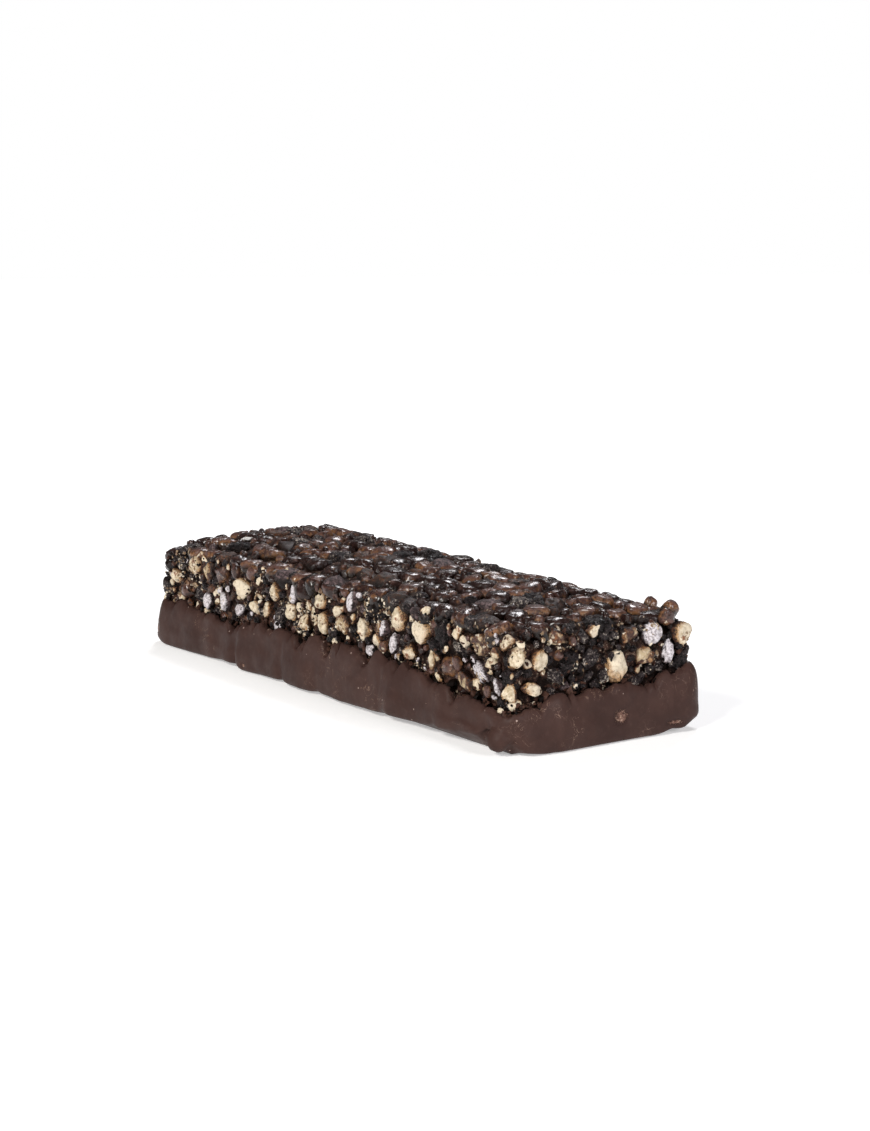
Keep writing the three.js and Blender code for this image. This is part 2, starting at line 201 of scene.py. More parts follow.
# ---- where the larger grains lie: the solids' rule, with the same draws ----
# The largest: [kind, place along the face, height, half width, half height]. Toasted ones are cream puffs
# that are mostly under brown glaze.
LARGEST_ON_SIDE = [
    ["cream", -48.5, 12.6, 2.2, 1.4], ["rice", -35.8, 9.6, 1.2, 1.5], ["rice", -29.9, 10.8, 1.4, 1.9],
    ["cream", -24.0, 13.8, 2.4, 1.7], ["rice", -24.4, 9.9, 1.2, 1.1], ["glazed", -20.9, 16.6, 2.0, 1.5],
    ["cream", -19.2, 11.2, 1.6, 1.2], ["cream", -15.2, 11.2, 1.8, 1.3], ["cream", -12.7, 14.4, 2.2, 1.7],
    ["cream", -8.0, 12.0, 1.6, 1.5], ["glazed", -4.3, 16.2, 2.6, 2.4], ["cream", -3.0, 10.9, 1.8, 1.3],
    ["cream", 1.6, 14.8, 1.7, 1.3], ["cream", 2.7, 11.4, 2.1, 1.9], ["glazed", 4.4, 17.0, 2.3, 1.6],
    ["toasted", 8.6, 12.2, 2.1, 1.7], ["cream", 14.2, 12.6, 2.0, 1.9], ["cocoa", 16.6, 16.2, 2.1, 1.7],
    ["rice", 20.8, 13.4, 1.2, 1.3], ["cream", 24.6, 15.4, 2.1, 1.9], ["cream", 28.0, 11.0, 1.5, 1.3],
    ["cream", 30.5, 14.3, 2.3, 1.9], ["cream", 33.9, 10.8, 1.0, 1.4], ["cocoa", 36.2, 15.2, 1.9, 2.0],
    ["toasted", 45.8, 15.2, 2.4, 1.9], ["rice", 46.2, 11.0, 1.8, 1.7], ["rice", 50.4, 9.4, 1.2, 1.3],
]
LARGEST_ON_END = [
    ["cream", -16.7, 9.0, 1.1, 1.4], ["cream", -15.4, 14.0, 1.6, 1.8], ["cream", -12.3, 8.9, 2.3, 1.0],
    ["cream", -11.4, 13.2, 1.6, 1.5], ["toasted", -8.5, 16.3, 1.4, 1.2], ["cocoa", -5.6, 12.2, 2.0, 1.9],
    ["cocoa", -1.8, 12.6, 1.9, 1.8], ["cream", -1.5, 16.4, 1.2, 1.0], ["cream", 2.9, 10.9, 2.2, 2.2],
    ["toasted", 4.9, 15.3, 1.7, 1.5], ["toasted", 7.6, 11.9, 1.8, 1.5], ["rice", 9.3, 15.2, 1.9, 1.8],
    ["rice", 12.2, 11.9, 1.1, 1.9], ["glazed", 12.0, 17.2, 1.5, 1.4], ["cream", 14.9, 14.6, 1.8, 1.6],
]
# Lumps that stand up from the top: [x, y, height of the centre, half width, half thickness].
LUMPS_ON_TOP = [[50.6, 14.3, 17.4, 1.6, 1.8], [44.9, 15.4, 17.3, 1.2, 1.5]]
TOP_KINDS = [["glazed", 0.66], ["cocoa", 0.24], ["rice", 0.03], ["cream", 0.07]]
SIDE_KINDS = [["cream", 0.33], ["cocoa", 0.34], ["rice", 0.13], ["glazed", 0.2]]


def pick_kind(shares, drawn):
    left = drawn
    for kind, share in shares:
        left -= share
        if left < 0:
            return kind
    return shares[0][0]


def placed(centre, facing, spin, halves, **more):
    """A grain or crumb: an ellipsoid whose third axis faces that way, and its spin about that way."""
    return {"centre": Vector(centre), "facing": Vector(facing), "spin": spin, "halves": halves, **more}


def lay_top_grains(draw):
    edge_lean = 0.4  # how far the outermost grains lean outwards, and how wide that border is
    border = 3.5
    margin = 2.2
    columns = round(BLOCK_LENGTH / GRAIN_PITCH)
    rows = round(BLOCK_WIDTH / GRAIN_PITCH)
    along = (BLOCK_LENGTH - 2 * margin) / (columns - 0.5)
    across = (BLOCK_WIDTH - 2 * margin) / (rows - 1)

    def lean_at(place, size):
        return math.copysign(max(0.0, 1 - (size / 2 - abs(place)) / border), place)

    grains = []
    for row, column in itertools.product(range(rows), range(columns)):
        on_edge = row in (0, rows - 1) or column in (0, columns - 1)
        roam = 0.12 if on_edge else 0.24
        stagger = 0.5 if row % 2 else 0.0
        x = -BLOCK_LENGTH / 2 + margin + (column + stagger + draw(-roam, roam)) * along
        y = -BLOCK_WIDTH / 2 + margin + (row + draw(-roam, roam)) * across
        half = draw(2.1, 2.7)
        flat = draw(0.78, 0.95)
        thick = draw(0.95, 1.3)
        rise = draw(-0.25, 0.35)
        spin = draw(0, math.pi)
        tilt_x = draw(-0.2, 0.2) + edge_lean * lean_at(x, BLOCK_LENGTH)
        tilt_y = draw(-0.2, 0.2) + edge_lean * lean_at(y, BLOCK_WIDTH)
        sink = 0.85 * thick + (0.5 if on_edge else 0)
        kind = pick_kind(TOP_KINDS, draw(0, 1))
        centre = (x, y, top_height_at(x, y) + rise - sink)
        halves = (half, half * flat, thick)
        grains.append(placed(centre, (tilt_x, tilt_y, 1), spin, halves, kind=kind, side=False))
    return grains


def lay_lumps():
    leaning = (0.25, 0.4, 1)
    more = {"kind": "glazed", "side": False, "tones": (0.6, 1.0)}
    return [
        placed((x, y, height), leaning, 0.0, (half, half, thick), **more)
        for x, y, height, half, thick in LUMPS_ON_TOP
    ]


def make_side_grain(kind, station, height, wide, tall, thick, proud, spin):
    """A grain of a side face, raised where it would touch the coat's upper edge."""
    reach = math.hypot(wide * math.sin(spin), tall * math.cos(spin))
    edges = [coat_edge_at(station + step * wide) for step in (-1, -0.5, 0, 0.5, 1)]
    point, normal = outline_at(station)
    centre = (*(point + normal * (proud - thick)), max(height, max(edges) + FIT_GAP + reach))
    return placed(centre, (*normal, 0), spin, (wide, tall, thick), kind=kind, side=True, station=station)


def is_crowded(largest, station, height, half):
    """Whether a grain of half-axis half would lie on one of the largest grains."""
    shown_share = 0.9
    for _, other_station, other_height, wide, tall in largest:
        along = apart_round(station, other_station) / (wide + shown_share * half)
        up = (height - other_height) / (tall + shown_share * half)
        if math.hypot(along, up) < 1:
            return True
    return False


def lay_side_grains(draw):
    below_top = 2.9
    largest = [[kind, front_station(x), *rest] for kind, x, *rest in LARGEST_ON_SIDE] + LARGEST_ON_END
    grains = []
    for grain in largest:
        thick, proud, spin = draw(1.3, 1.5), draw(0, 0.35), draw(-0.25, 0.25)
        grains.append(make_side_grain(*grain, thick, proud, spin))
    columns = round(OUTLINE_RUN / GRAIN_PITCH)
    for column, row in itertools.product(range(columns), range(GRAIN_ROWS)):
        stagger = 0.5 if row % 2 else 0.0
        station = (column + stagger + draw(-0.2, 0.2)) / columns * OUTLINE_RUN
        kind = pick_kind(SIDE_KINDS, draw(0, 1))
        tall = draw(1.75, 2.25)
        wide = tall * (draw(0.55, 0.65) if kind == "rice" else draw(0.85, 1))
        thick = draw(1.2, 1.5)
        proud = draw(-0.3, 0.3)
        spin = draw(-0.6, 0.6) if kind == "rice" else draw(0, math.pi)
        point, _ = outline_at(station)
        highest = top_height_at(*point) - below_top
        lowest = coat_edge_at(station) + tall
        height = lowest + row / (GRAIN_ROWS - 1) * (highest - lowest) + draw(-0.4, 0.4)
        if not is_crowded(largest, station, height, tall):
            grains.append(make_side_grain(kind, station, height, wide, tall, thick, proud, spin))
    return grains


# ---- smaller grains that fill the gaps of the faces, which the solids leave out ----
SMALL_SIDE_KINDS = [["cocoa", 0.4], ["cream", 0.3], ["glazed", 0.17], ["rice", 0.13]]
SMALL_TOP_KINDS = [["glazed", 0.5], ["cocoa", 0.42], ["cream", 0.05], ["rice", 0.03]]


def lay_small_side_grains(draw, grains):
    """Small grains thrown at the side faces, each kept where it clears those that lie there."""
    tries = 6500  # a third of them for the middling grains, the rest for the smallest
    others_share, own_share = 0.8, 0.62  # how much of their half-axes has to stay clear
    thick_share = 0.8
    above_coat, below_top = 0.2, 0.9
    taken = [(grain["station"], grain["centre"].z, max(grain["halves"][:2])) for grain in grains]
    small = []
    for attempt in range(tries):
        station = draw(0, OUTLINE_RUN)
        half = draw(0.85, 1.7) if attempt < tries / 3 else draw(0.45, 0.9)
        point, normal = outline_at(station)
        height = draw(coat_edge_at(station) + above_coat, top_height_at(*point) - below_top)
        kind = pick_kind(SMALL_SIDE_KINDS, draw(0, 1))
        flat = draw(0.6, 0.95)
        proud = draw(-0.9, 0.1)
        spin = draw(0, math.pi)
        stations, heights, halves = np.array(taken).T
        room = np.hypot(apart_round(stations, station), heights - height) - others_share * halves
        if room.min() < own_share * half:
            continue
        taken.append((station, height, half))
        thick = thick_share * half
        centre = (*(point + normal * (proud - thick)), height)
        facing = (*normal, draw(-0.3, 0.3))
        small.append(placed(centre, facing, spin, (half, half * flat, thick), kind=kind, side=True))
    return small


def lay_small_top_grains(draw, grains):
    """Small grains thrown at the top, each kept where it clears those that lie there."""
    tries = 2200
    margin = 1.6
    others_share, own_share = 0.85, 0.7
    sunk_share, thick_share = 0.6, 0.7
    taken = [(*grain["centre"].xy, grain["halves"][1]) for grain in grains]
    small = []
    for _ in range(tries):
        x = draw(-BLOCK_LENGTH / 2 + margin, BLOCK_LENGTH / 2 - margin)
        y = draw(-BLOCK_WIDTH / 2 + margin, BLOCK_WIDTH / 2 - margin)
        half = draw(0.7, 1.5)
        flat = draw(0.6, 0.95)
        rise = draw(-0.6, 0.0)
        spin = draw(0, math.pi)
        tilt = (draw(-0.3, 0.3), draw(-0.3, 0.3), 1)
        kind = pick_kind(SMALL_TOP_KINDS, draw(0, 1))
        along, across, halves = np.array(taken).T
        if (np.hypot(along - x, across - y) - others_share * halves).min() < own_share * half:
            continue
        taken.append((x, y, half))
        centre = (x, y, top_height_at(x, y) + rise - sunk_share * half)
        own_halves = (half, half * flat, half * thick_share)
        small.append(placed(centre, tilt, spin, own_halves, kind=kind, side=False))
    return small


# ---- meshes ----
def sphere_template(subdivisions):
    """The points and triangles of a unit icosphere, as arrays."""
    bm = bmesh.new()
    bmesh.ops.create_icosphere(bm, subdivisions=subdivisions, radius=1.0)
    points = np.array([vert.co for vert in bm.verts])
    triangles = np.array([[vert.index for vert in face.verts] for face in bm.faces])
    bm.free()
    return points, triangles


def sampled(points, size, shift):
    """Smooth noise, about -1 to 1, with bumps of that size at the points."""
    return np.array([noise.noise(place) for place in (points / size + shift).tolist()])


def layered(points, layers):
    """The sum of some layers of that noise: [size of the bumps, their height, shift]."""
    return sum(height * sampled(points, size, shift) for size, height, shift in layers)


def eased(values, low, high):
    share = np.clip((values - low) / (high - low), 0, 1)
    return share * share * (3 - 2 * share)


def grain_axes(grain):
    """The grain's three axes as rows: the third faces out, the first is turned by its spin from level."""
    out = grain["facing"].normalized()
    level = Vector((1, 0, 0)) if abs(out.z) > 0.7 else Vector((-out.y, out.x, 0))
    first = (level - out * level.dot(out)).normalized()
    second = out.cross(first)
    turned = first * math.cos(grain["spin"]) + second * math.sin(grain["spin"])
    return np.array([turned, out.cross(turned), out])


# How lumpy each kind is: [size of the bumps, their height], in shares of the grain's own half-axes.
BUMPS = {
    "glazed": [[1.1, 0.26], [0.45, 0.09], [0.18, 0.03]],
    "cream": [[1.0, 0.4], [0.44, 0.18], [0.16, 0.06]],
    "rice": [[1.0, 0.28], [0.35, 0.14], [0.14, 0.06]],
    "cocoa": [[1.0, 0.3], [0.4, 0.24], [0.17, 0.14]],
}


def unit_vector(parts):
    return np.array(parts) / np.linalg.norm(parts)


def pressed(points, draw):
    """The points of a grain, flattened where other grains lay against it."""
    presses = 4
    pressed_share = 0.8
    for _ in range(presses):
        turn = draw(0, 2 * math.pi)
        facing = unit_vector([math.cos(turn), math.sin(turn), draw(-0.3, 0.4)])
        beyond = np.maximum(points @ facing - draw(0.55, 0.95), 0)
        points = points - pressed_share * beyond[:, None] * facing
    return points


def cut_open(local, halves, shift, draw):
    """The points of a grain with its front broken off, and how far each is from the break's middle."""
    broad_relief, fine_relief = 0.25, 0.1
    pit_depth = 0.16
    sunk_share = 0.42
    facing = unit_vector([draw(-0.5, 0.5), draw(-0.4, 0.4), 1])
    level = halves[2] * draw(-0.2, 0.2)
    level = level + broad_relief * sampled(local, 1.3, shift) + fine_relief * sampled(local, 0.5, shift)
    over = local @ facing - level
    reach = 1 - np.where(over > 0, over / over.max(), over / halves[2])
    pits = pit_depth * eased(sampled(local, 0.5, shift + 3), 0.15, 0.5)
    sunk = np.where(over > 0, sunk_share * over + pits, 0)
    return local - sunk[:, None] * facing, reach


def shaped_grain(unit, grain, draw):
    """One grain's points, and the two values that its finish reads there.

    The reach is 0 in the middle of a cut face, 1 at its rim and more on the skin. The depth is how far a
    point lies behind the grain's foremost one, in millimetres.
    """
    uncut_reach = 2.0
    crease_depth = 0.06
    side_roundness, top_roundness = 0.9, 1.5
    crown_share, crown_squash = 0.75, 0.5
    kind = grain["kind"]
    shift = np.array([draw(0, 90), draw(0, 90), draw(0, 90)])
    radius = 1 + layered(unit, [[size, height, shift] for size, height in BUMPS[kind]])
    if kind == "glazed":
        radius -= crease_depth * (1 - np.abs(sampled(unit * [1.0, 2.2, 1.0], 0.55, shift + 7))) ** 3
    points = pressed(unit * radius[:, None], draw)
    wide, tall, thick = grain["halves"]
    round_depth = side_roundness * min(wide, tall) if grain["side"] else top_roundness * thick
    halves = np.array([wide, tall, round_depth])
    local = points * halves
    reach = np.full(len(unit), uncut_reach)
    if grain["side"] and kind in ("cream", "rice") and draw(0, 1) < grain.get("cut_chance", 0.85):
        local, reach = cut_open(local, halves, shift, draw)
    elif not grain["side"]:
        flat_from = crown_share * local[:, 2].max()
        local[:, 2] = np.minimum(local[:, 2], flat_from + crown_squash * (local[:, 2] - flat_from))
    local[:, 2] += thick - local[:, 2].max()
    return local @ grain_axes(grain) + np.array(grain["centre"]), reach, thick - local[:, 2]


def set_values(mesh, label, values):
    mesh.attributes.new(label, "FLOAT", "POINT").data.foreach_set("value", values.astype(np.float32))


def mesh_from_arrays(name, points, faces, attributes):
    """A mesh in metres from arrays in millimetres, with its own values at the points."""
    mesh = bpy.data.meshes.new(name)
    mesh.from_pydata((points * MM).tolist(), [], faces.tolist())
    for label, values in attributes.items():
        set_values(mesh, label, values)
    mesh.shade_smooth()
    return mesh


def joined_pieces(name, parts, faces):
    """One mesh of many like-built parts: each is (points, {attribute: values}), all with the same faces."""
    points = np.concatenate([part[0] for part in parts])
    count = len(parts[0][0])
    all_faces = (faces[None] + count * np.arange(len(parts))[:, None, None]).reshape(-1, faces.shape[1])
    labels = parts[0][1].keys()
    attributes = {label: np.concatenate([part[1][label] for part in parts]) for label in labels}
    return mesh_from_arrays(name, points, all_faces, attributes)


def arrays_of(bm):
    """The places and the normals of its points."""
    bm.normal_update()
    return np.array([vert.co for vert in bm.verts]), np.array([vert.normal for vert in bm.verts])


def mesh_from_bmesh(name, bm, points, label, values):
    """A mesh in metres, its points moved to those in millimetres, with one value of its own at each."""
    for vert, place in zip(bm.verts, points):
        vert.co = place * MM
    mesh = bpy.data.meshes.new(name)
    bm.to_mesh(mesh)
    bm.free()
    set_values(mesh, label, values)
    mesh.shade_smooth()
    return mesh


def add_object(name, data):
    thing = bpy.data.objects.new(name, data)
    bpy.context.scene.collection.objects.link(thing)
    return thing


def add_piece(name, mesh, material, node):
    piece = add_object(name, mesh)
    mesh.materials.append(material)
    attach(piece, "root")
    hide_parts(node)


def make_grain_mesh(name, grains, subdivisions, draw):
    unit, faces = sphere_template(subdivisions)
    parts = []
    for grain in grains:
        points, reach, depth = shaped_grain(unit, grain, draw)
        points = np.clip(points, *CEREAL_BOX)
        tone = np.full(len(unit), draw(*grain.get("tones", (0, 1))))
        parts.append((points, {"tone": tone, "reach": reach, "depth": depth}))
    return joined_pieces(name, parts, faces)


# ---- the block behind the grains ----
CORE_LUMPS = [[1.9, 0.5, 0.0], [0.95, 0.4, 5.0], [0.5, 0.22, 9.0]]  # [size, height, shift]


def make_core_mesh():
    """A box of many small quads, crowned like the solid and lumpy with syrup and crumb."""
    set_back = COAT_INSET + FIT_GAP
    top_set_back = 1.25
    shoulder_round = 1.8
    swell = 0.1
    smooth_below, lumpy_above = 0.6, 0.8  # measured from the coat's upper edge
    size = Vector((BLOCK_LENGTH - 2 * set_back, BLOCK_WIDTH - 2 * set_back, 1))
    corner = BLOCK_CORNER - set_back
    cuts = (250, 80, 34)
    crosswise = 1e-6  # an edge no longer than this along an axis lies across it
    bm = bmesh.new()
    bmesh.ops.create_cube(bm, size=1.0)
    for axis, count in enumerate(cuts):
        spans = {edge: edge.verts[0].co - edge.verts[1].co for edge in bm.edges}
        edges = [edge for edge, span in spans.items() if abs(span[axis]) > crosswise]
        bmesh.ops.subdivide_edges(bm, edges=edges, cuts=count, use_grid_fill=True)
    for vert in bm.verts:
        x, y, share = vert.co.x * size.x, vert.co.y * size.y, vert.co.z + 0.5
        beyond_x = abs(x) - (size.x / 2 - corner)
        beyond_y = abs(y) - (size.y / 2 - corner)
        if beyond_x > 0 and beyond_y > 0:
            pull = max(beyond_x, beyond_y) / math.hypot(beyond_x, beyond_y)
            x = math.copysign(size.x / 2 - corner + beyond_x * pull, x)
            y = math.copysign(size.y / 2 - corner + beyond_y * pull, y)
        inset = min(size.x / 2 - abs(x), size.y / 2 - abs(y))
        drop = shoulder_round * max(0.0, 1 - inset / shoulder_round) ** 2 * share**6
        bottom = COAT_FLOOR + FIT_GAP
        top = top_height_at(x, y) - top_set_back
        vert.co = (x, y, bottom + share * (top - bottom) - drop)
    points, normals = arrays_of(bm)
    edges = np.array([coat_edge_at(nearest_station(x, y)) for x, y, _ in points.tolist()])
    shown = eased(points[:, 2], edges - smooth_below, edges + lumpy_above)
    lumps = layered(points, CORE_LUMPS)
    points += normals * ((swell * (1 - np.abs(normals[:, 2])) + lumps) * shown)[:, None]
    # The depth is 1 less the lumps, so the finish paints shade into the hollows between them.
    return mesh_from_bmesh("syrup_crumb", bm, points, "depth", 1 - lumps)


# ---- the chocolate coat ----
# Where the foot is drawn in between its lobes: [station, depth].
FOOT_NOTCHES = [
    *on_front([[-23.5, 0.8], [-8, 0.5], [3, 0.3], [23, 0.45], [36, 0.3], [49.3, 1.8], [53.6, 1.2]]),
    *[[12, 0.3], [31, 0.6], [47, 0.4], [62, 0.7], [78, 0.4], [96, 0.6], [110, 0.5], [131, 0.5], [148, 0.4]],
]
# Where one wave of the chocolate set over the next: [station where it starts, how far it stands out, run].
FOLDS = [
    *on_front([[-23, 0.5, 9], [-7.5, 0.3, 7], [22.5, 0.3, 8]]), [-9, 0.25, 8],
    *[[11.5, 0.3, 5], [46, 0.35, 8], [78, 0.35, 9], [109, 0.4, 8], [147, 0.3, 6]],
]
# Where a grain left a gap in the coat's upper edge: [station, depth, half width].
EDGE_GAPS = [
    *on_front([[-26, 1.0, 1.2], [-14.6, 0.8, 0.8], [-3.4, 1.8, 0.9], [5.4, 1.6, 1.2], [16.7, 1.4, 1.8]]),
    *on_front([[25.5, 1.2, 0.8], [40, 1.0, 1.0]]), *[[-4.6, 0.6, 1.0], [8.7, 1.2, 1.6]],
    *[[34, 1.2, 1.2], [59, 1.5, 0.9], [71, 1.1, 1.4], [92, 1.4, 1.1], [119, 1.2, 1.0], [135, 1.3, 1.2]],
]
# Where the coat bulges right up to its edge: [station, how far, run].
LIPS = [[16.5, 0.35, 4.0]]
# Where the coat is chipped: [station, height, half width, half height].
CHIPS = [
    [front_station(-52.2), 2.8, 1.1, 1.8], [-15.9, 1.6, 0.5, 1.4], [2.3, 3.8, 2.3, 1.9],
    [12, 1.8, 2.4, 0.6], [front_station(-20), 1.2, 1.0, 0.7],
    [58, 2.2, 1.2, 0.8], [103, 1.6, 1.4, 0.9], [140, 3.0, 1.0, 1.2],
]
# Drops of chocolate that set at the foot: [station, height, radius, how far they stand out].
DROPS = [[front_station(51.4), 2.2, 1.8, 0.9], [88, 1.6, 1.6, 0.5], [134, 2.2, 1.5, 0.5]]


def hump(station, mark, half):
    """1 at the mark, and next to nothing at twice half away from it."""
    return math.exp(-((apart_round(station, mark) / half) ** 2))


def noise_round(station, size, row):
    """Smooth noise along the outline, with waves of that size. Each row has its own."""
    return noise.noise(Vector((station / size, row, 0)))


def coat_rim_at(station):
    """The height of the coat's ragged upper edge, with nicks where a grain stood in its way."""
    nick_slope, nick_from = 3.6, 0.24
    broad = 0.6 * noise_round(station, 2.4, 3.0)
    fine = 0.5 * noise_round(station, 0.8, 9.0)
    nick = nick_slope * max(0.0, noise_round(station, 1.7, 21.0) - nick_from)
    gap = max(depth * hump(station, mark, half) for mark, depth, half in EDGE_GAPS)
    return coat_edge_at(station) + broad + fine - max(nick, gap)


def fold_at(station):
    """How far the folds stand out there: a short rise at the start of each, then a long fall."""
    lead = 2.0
    starts_before, rise_run = 0.6, 0.9
    runs_reached = 3
    total = 0.0
    for start, stand, run in FOLDS:
        beyond = (station - start + lead) % OUTLINE_RUN - lead
        if -starts_before < beyond < runs_reached * run:
            rise = min(1.0, (beyond + starts_before) / rise_run)
            total += stand * rise * math.exp(-max(0.0, beyond) / run)
    return total


def coat_profile_at(station):
    """Points [distance outside the outline, height] from the underside round the rim to the inside."""
    half_notch = 1.1
    most_belly = 0.45
    smooth_edge = coat_edge_at(station)
    edge = coat_rim_at(station)
    dent = max(depth * hump(station, mark, half_notch) for mark, depth in FOOT_NOTCHES)
    lift = eased_round(FOOT_LIFT_MARKS, station) + dent
    uneven = 0.3 * noise_round(station, 7.0, 40.0) - 0.15
    belly = min(most_belly, wave_round(BELLY_WAVES, station) + uneven + fold_at(station))
    rim = wave_round(RIM_WAVES, station)
    lip = sum(stand * hump(station, mark, run) for mark, stand, run in LIPS)
    return [
        [-BASE_INSET, 0],
        [-1.1 + 0.5 * belly, 0.1 + 0.2 * lift],
        [0.95 + belly - 0.6 * dent, 0.15 + 0.9 * lift],
        [1.42 + belly - 0.7 * dent, 0.7 + 0.3 * rim + 0.8 * lift],
        [1.5 + belly - 0.7 * dent, 0.22 * smooth_edge + 0.5 * rim + 0.6 * lift],
        [1.45 + belly - 0.6 * dent, 0.37 * smooth_edge + 0.8 * rim + 0.3 * lift],
        [1.2 + 0.9 * belly - 0.4 * dent + 0.6 * lip, 0.55 * smooth_edge + 0.5 * rim],
        [0.9 + 0.6 * belly - 0.1 * dent + lip, 0.76 * smooth_edge],
        [0.62 + 0.3 * belly + 0.7 * lip, min(0.9 * smooth_edge, edge - 0.5)],
        [0.15, edge - 0.03],
        [-0.5, edge - 0.1],
        [-COAT_INSET, edge - 0.7],
        [-COAT_INSET, COAT_FLOOR],
    ]


def smooth_run(controls, count):
    """That many points, evenly spaced, on a smooth curve through the control points."""
    steps = 8
    controls = np.array(controls, float)
    padded = np.vstack([2 * controls[0] - controls[1], controls, 2 * controls[-1] - controls[-2]])
    shares = np.linspace(0, 1, steps, endpoint=False)[:, None]
    curve = []
    for before, start, end, after in zip(padded, padded[1:], padded[2:], padded[3:]):
        bend = 2 * before - 5 * start + 4 * end - after
        twist = 3 * start - before - 3 * end + after
        curve.append(start + 0.5 * shares * (end - before + shares * (bend + shares * twist)))
    curve = np.vstack([*curve, controls[-1:]])
    walked = np.concatenate([[0], np.cumsum(np.hypot(*np.diff(curve, axis=0).T))])
    stops = np.linspace(0, walked[-1], count)
    return np.column_stack([np.interp(stops, walked, curve[:, axis]) for axis in (0, 1)])


# Waves of the coat's outer face: [size, height, shift].
COAT_WAVES = [[5.5, 0.16, 2.0], [2.3, 0.07, 8.0], [0.8, 0.022, 4.0]]


def make_coat_mesh():
    """A profile spun round into a ring of columns, each then laid on the outline in its own shape."""
    columns = 700
    rows = 62
    outside_from = 0.2  # the offset from which chips and drops are seen
    chip_rim, chip_bed, chip_depth = 0.2, 0.5, 0.2
    drop_roundness = 0.6
    wavy_from, wavy_above = 0.05, 0.9  # heights between which the waves set in, over the flat foot
    headroom = [0, 0, 1.5]  # how far the ragged edge may rise over the solid's
    bm = bmesh.new()
    chain = [bm.verts.new((1, 0, row)) for row in range(rows)]
    for lower, upper in zip(chain, chain[1:]):
        bm.edges.new((lower, upper))
    bmesh.ops.spin(
        bm, geom=bm.verts[:] + bm.edges[:], cent=(0, 0, 0), axis=(0, 0, 1), angle=2 * math.pi,
        steps=columns, use_merge=True,
    )
    ring = {}
    for vert in bm.verts:
        column = round(math.atan2(vert.co.y, vert.co.x) / (2 * math.pi) * columns) % columns
        ring.setdefault(column, []).append(vert)
    chipped = np.zeros(len(bm.verts))
    proud = np.zeros(len(bm.verts))
    bm.verts.index_update()
    for column, verts in ring.items():
        station = column / columns * OUTLINE_RUN
        run = smooth_run(coat_profile_at(station), rows)
        point, normal = outline_at(station)
        for vert in verts:
            offset, height = run[round(vert.co.z)]
            vert.co = (*(point + normal * offset), height)
            if offset < outside_from:
                continue
            for mark, level, wide, tall in CHIPS:
                away = math.hypot(apart_round(station, mark) / wide, (height - level) / tall)
                chipped[vert.index] = max(chipped[vert.index], 1 - away)
            for mark, level, radius, stand in DROPS:
                away = math.hypot(apart_round(station, mark), height - level) / radius
                proud[vert.index] += stand * max(0.0, 1 - away**2) ** drop_roundness
    open_edges = [edge for edge in bm.edges if edge.is_boundary]
    bmesh.ops.holes_fill(bm, edges=open_edges, sides=0)
    bmesh.ops.recalc_face_normals(bm, faces=bm.faces[:])
    points, normals = arrays_of(bm)
    waves = layered(points, COAT_WAVES) * eased(points[:, 2], wavy_from, wavy_above)
    points += normals * (waves + proud - chip_depth * eased(chipped, chip_rim, chip_bed))[:, None]
    points = np.clip(points, COAT_BOX[0], COAT_BOX[1] + headroom)
    return mesh_from_bmesh("chocolate_shell", bm, points, "chips", chipped)


# ---- crumbs that stick to what shows ----
def surface_tree(meshes):
    """What rays find of these meshes, in millimetres."""
    points = []
    faces = []
    for mesh in meshes:
        start = len(points)
        points += [vert.co / MM for vert in mesh.vertices]
        faces += [[start + corner for corner in face.vertices] for face in mesh.polygons]
    return BVHTree.FromPolygons(points, faces)


# Crumbs that are thrown at the bar: [how many throws, smallest half width, largest half width, whether from
# above, how far out a crumb may lie, how strong a slow noise has to be there].
DARK_THROWS = [[1500, 0.2, 0.65, False, -0.4, -1.0], [300, 0.12, 0.3, True, -0.8, -1.0]]
PALE_THROWS = [[7500, 0.1, 0.42, False, 0.1, 0.18], [900, 0.07, 0.2, True, 0.0, 0.2]]
DARK_AT_EDGE = 480


def throw_crumbs(surface, draw, throws, smallest, largest, on_top, highest_proud, drifts):
    """Crumbs that lie where a ray from outside meets the grains or the block behind them."""
    deepest = -2.6
    above, away, longest = 30, 8.0, 14  # where a ray starts, and how far it goes
    margin = 1.5
    below_edge, below_top = 0.2, 0.9
    drift_size = 3.5
    sunk_share = 0.15
    crumbs = []
    for _ in range(throws):
        half = draw(smallest, largest) * draw(0.6, 1.0)
        flat = draw(0.5, 0.95)
        turn = draw(0, math.pi)
        along = draw(0, 1)
        across = draw(0, 1)
        if on_top:
            x = (along - 0.5) * (BLOCK_LENGTH - margin)
            y = (across - 0.5) * (BLOCK_WIDTH - margin)
            start, ray = Vector((x, y, above)), Vector((0, 0, -1))
            level = top_height_at(x, y)
        else:
            station = along * OUTLINE_RUN
            low = coat_edge_at(station) - below_edge
            point, normal = outline_at(station)
            height = low + across * (top_height_at(*point) - below_top - low)
            ray = Vector((*-normal, 0))
            start = Vector((*point, height)) - ray * away
            level = away
        hit, facing, _, distance = surface.ray_cast(start, ray, longest)
        if hit is None:
            continue
        proud = hit.z - level if on_top else level - distance
        if not deepest < proud < highest_proud or noise.noise(hit / drift_size) < drifts:
            continue
        halves = (half, half * flat, half * draw(0.5, 0.9))
        crumbs.append(placed(hit - facing * half * sunk_share, facing, turn, halves))
    return crumbs


